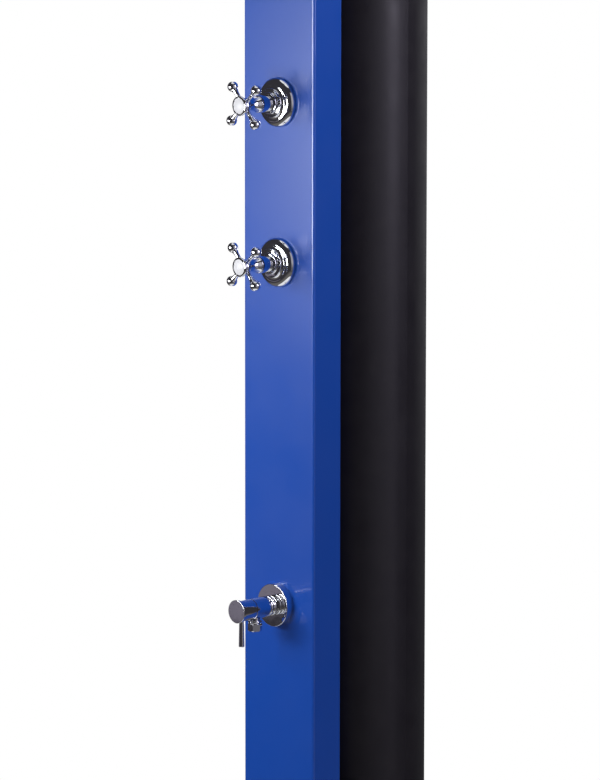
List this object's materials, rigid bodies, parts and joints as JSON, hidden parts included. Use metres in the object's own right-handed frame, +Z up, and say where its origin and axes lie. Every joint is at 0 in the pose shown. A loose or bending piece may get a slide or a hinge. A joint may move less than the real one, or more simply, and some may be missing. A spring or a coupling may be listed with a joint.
{
  "type": "outdoor shower post",
  "caption": "Free-standing garden shower: blue profile with a black sun-heated tank behind it, cross-handle valves, a foot-wash tap with a lever, and a round swivelling rain head.",
  "frame": {"origin": "on the floor, at the middle of the base plate's underside", "axes": "+Z up along the post, +X to the right of someone facing the post, -Y out of the painted front towards the user"},
  "size_m": [0.24, 0.68, 2.174],
  "materials": {
    "blue_powder_coat": "powder coat on extruded aluminium, satin gloss",
    "black_pvc": "extruded black PVC, satin",
    "chrome_plate": "polished chrome on brass",
    "white_button": "plain glossy index button",
    "raw_brass": "cast and turned brass, unplated",
    "stainless_tube": "drawn stainless tube",
    "stainless_sheet": "brushed stainless plate",
    "screw_steel": "stainless screws",
    "black_moulded": "moulded black polypropylene",
    "black_rubber": "EPDM rubber",
    "grey_silicone": "grey silicone nozzle mat",
    "white_ptfe": "PTFE",
    "ceramic_cartridge": "brass cartridge housing"
  },
  "bodies": {
    "post": {"arm_elbow": "raw_brass", "arm_flange": "chrome_plate", "ball_joint": "chrome_plate", "base_collar": "stainless_sheet", "base_plate": "stainless_sheet", "cold_pipe_lower": "stainless_tube", "cold_pipe_upper": "stainless_tube", "drain_plug": "raw_brass", "drain_washer": "black_rubber", "foot_bracket": "stainless_sheet", "foot_screws": "screw_steel", "foot_tap_body": "chrome_plate", "foot_tap_cartridge": "ceramic_cartridge", "foot_tap_flange": "chrome_plate", "foot_tap_spout_nut": "chrome_plate", "foot_tee": "raw_brass", "front_panel": "blue_powder_coat", "hot_pipe": "stainless_tube", "inlet_manifold": "raw_brass", "inlet_nipple": "chrome_plate", "lock_nuts": "raw_brass", "lower_cartridge": "ceramic_cartridge", "lower_rose": "chrome_plate", "lower_sleeve": "chrome_plate", "mixed_riser": "stainless_tube", "mixer_bar": "raw_brass", "outlet_elbow": "raw_brass", "panel_top_cap": "black_moulded", "pipe_nuts": "raw_brass", "port_gaskets": "black_rubber", "saddle_screws": "screw_steel", "shower_arm": "chrome_plate", "standpipe": "stainless_tube", "tank_bottom_cap": "black_pvc", "tank_nipples": "raw_brass", "tank_saddle_1": "black_moulded", "tank_saddle_2": "black_moulded", "tank_saddle_3": "black_moulded", "tank_top_cap": "black_pvc", "tank_tube": "black_pvc", "top_cap_screws": "screw_steel", "upper_cartridge": "ceramic_cartridge", "upper_rose": "chrome_plate", "upper_sleeve": "chrome_plate"},
    "upper_handle": {"upper_spindle": "raw_brass", "upper_cross_handle": "chrome_plate", "upper_handle_screw": "screw_steel", "upper_index_button": "white_button"},
    "lower_handle": {"lower_spindle": "raw_brass", "lower_cross_handle": "chrome_plate", "lower_handle_screw": "screw_steel", "lower_index_button": "white_button"},
    "foot_lever": {"foot_tap_spindle": "raw_brass", "foot_tap_handle": "chrome_plate", "foot_tap_lever": "chrome_plate"},
    "head_swivel": {"ball_seat": "white_ptfe"},
    "head": {"head_nut": "chrome_plate", "head_shell": "chrome_plate", "head_face_plate": "chrome_plate", "head_nozzle_mat": "grey_silicone"}
  },
  "joints": [
    {"name": "upper_handle_turn", "type": "hinge", "parent": "post", "child": "upper_handle", "pos_m": [0, -0.11, 1.194], "axis": [0, -1, 0], "range_deg": [0, 90]},
    {"name": "lower_handle_turn", "type": "hinge", "parent": "post", "child": "lower_handle", "pos_m": [0, -0.11, 1], "axis": [0, -1, 0], "range_deg": [0, 90]},
    {"name": "foot_lever_turn", "type": "hinge", "parent": "post", "child": "foot_lever", "pos_m": [0, -0.11, 0.58], "axis": [0, -1, 0], "range_deg": [0, 90]},
    {"name": "head_turn", "type": "hinge", "parent": "post", "child": "head_swivel", "pos_m": [0, -0.44, 2.022], "axis": [0, 0, 1], "continuous": true},
    {"name": "head_tilt", "type": "hinge", "parent": "head_swivel", "child": "head", "pos_m": [0, -0.44, 2.022], "axis": [1, 0, 0], "range_deg": [-20, 20]}
  ]
}
